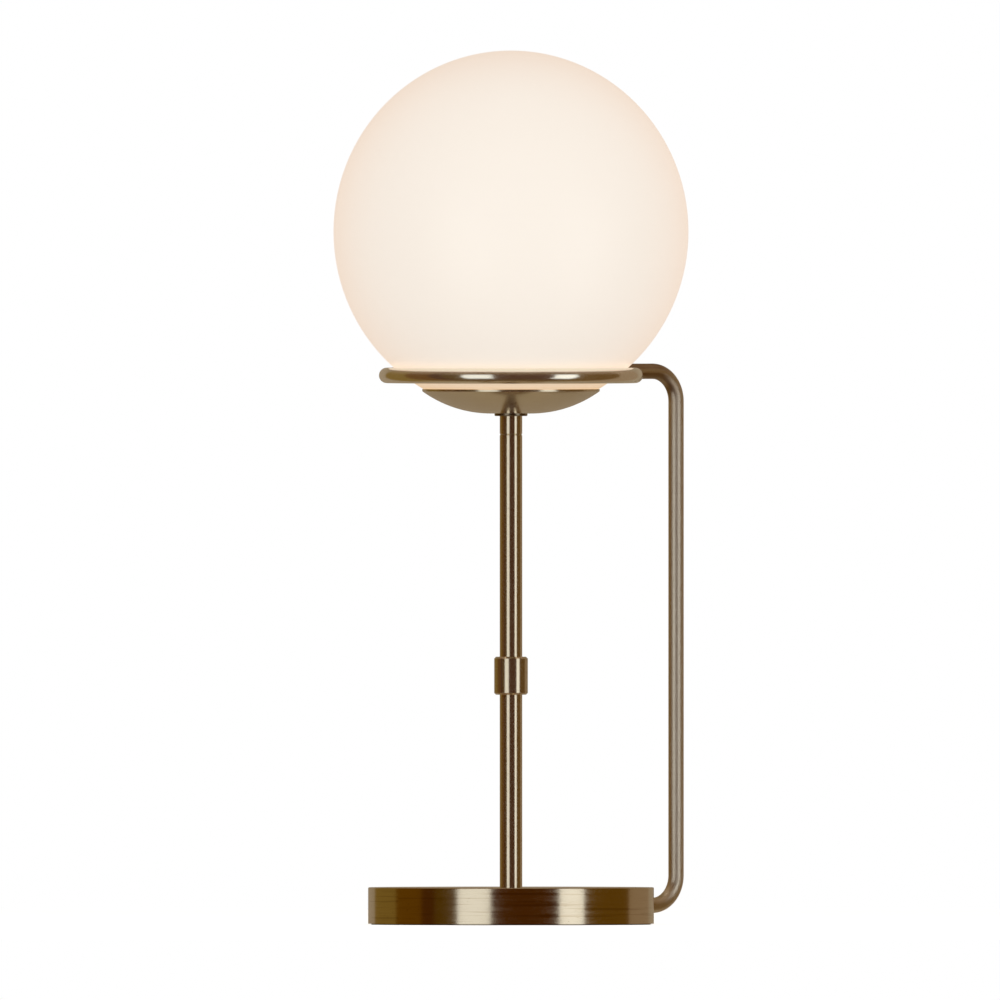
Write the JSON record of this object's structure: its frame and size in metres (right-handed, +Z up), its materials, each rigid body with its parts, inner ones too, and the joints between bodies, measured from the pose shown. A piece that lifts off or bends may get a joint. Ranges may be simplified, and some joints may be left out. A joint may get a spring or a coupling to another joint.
{
  "type": "table lamp",
  "caption": "Table lamp with a round weighted base, a slim brass stem, an opal glass globe on a shallow dish, and a bent side rod carrying a hoop round the globe.",
  "frame": {"origin": "centre of the base's underside, on the surface that the lamp stands on", "axes": "+Z up along the stem, +X towards the bent side rod, +Y towards the cable inlet in the base's side"},
  "size_m": [0.2223, 0.2, 0.4924],
  "materials": {
    "aged_brass": "satin, brushed in rings",
    "plain_brass": "bright",
    "cast_iron": "rough",
    "zinc_steel": "zinc plated",
    "dark_felt": "soft matt foam",
    "dark_nylon": "moulded, matt",
    "pale_nylon": "moulded, matt",
    "lead_sheath": "smooth sheath",
    "clear_silicone": "soft, milky",
    "dark_phenolic": "pressed, half gloss",
    "white_ceramic": "unglazed",
    "opal_glass": "opal, matt outside",
    "nickel_cap": "nickel plated",
    "white_housing": "moulded, matt",
    "white_diffuser": "milky"
  },
  "bodies": {
    "stand": {"base_shell": "aged_brass", "counterweight": "cast_iron", "bottom_plate": "zinc_steel", "bottom_plate_screws": "zinc_steel", "base_pad": "dark_felt", "stem_base_washer": "zinc_steel", "stem_base_nut": "zinc_steel", "inlet_bush": "dark_nylon", "inlet_bush_nut": "dark_nylon", "terminal_block": "pale_nylon", "terminal_screws": "plain_brass", "inner_lead": "lead_sheath", "lower_threaded_tube": "zinc_steel", "upper_threaded_tube": "zinc_steel", "lower_stem": "aged_brass", "stem_coupler": "aged_brass", "upper_stem": "aged_brass", "stem_ferrule": "aged_brass", "dish_saddle": "aged_brass", "globe_dish": "aged_brass", "dish_washer": "zinc_steel", "dish_nut": "plain_brass", "globe_seal": "clear_silicone", "hoop": "aged_brass", "arm_rod": "aged_brass", "arm_foot_washer": "zinc_steel", "arm_foot_screw": "zinc_steel", "lampholder_cap": "dark_phenolic", "lampholder_skirt": "dark_phenolic", "lampholder_insert": "white_ceramic", "lampholder_thread_shell": "plain_brass", "lampholder_contact": "plain_brass"},
    "globe": {"glass_globe": "opal_glass"},
    "bulb": {"bulb_cap": "nickel_cap", "bulb_housing": "white_housing", "bulb_diffuser": "white_diffuser"}
  },
  "joints": [
    {"name": "globe_lift", "type": "slide", "parent": "stand", "child": "globe", "axis": [0, 0, 1], "range_m": [0, 0.13]},
    {"name": "bulb_turn", "type": "hinge", "parent": "stand", "child": "bulb", "pos_m": [0, 0, 0.335], "axis": [0, 0, 1], "range_deg": [0, 1080]}
  ]
}
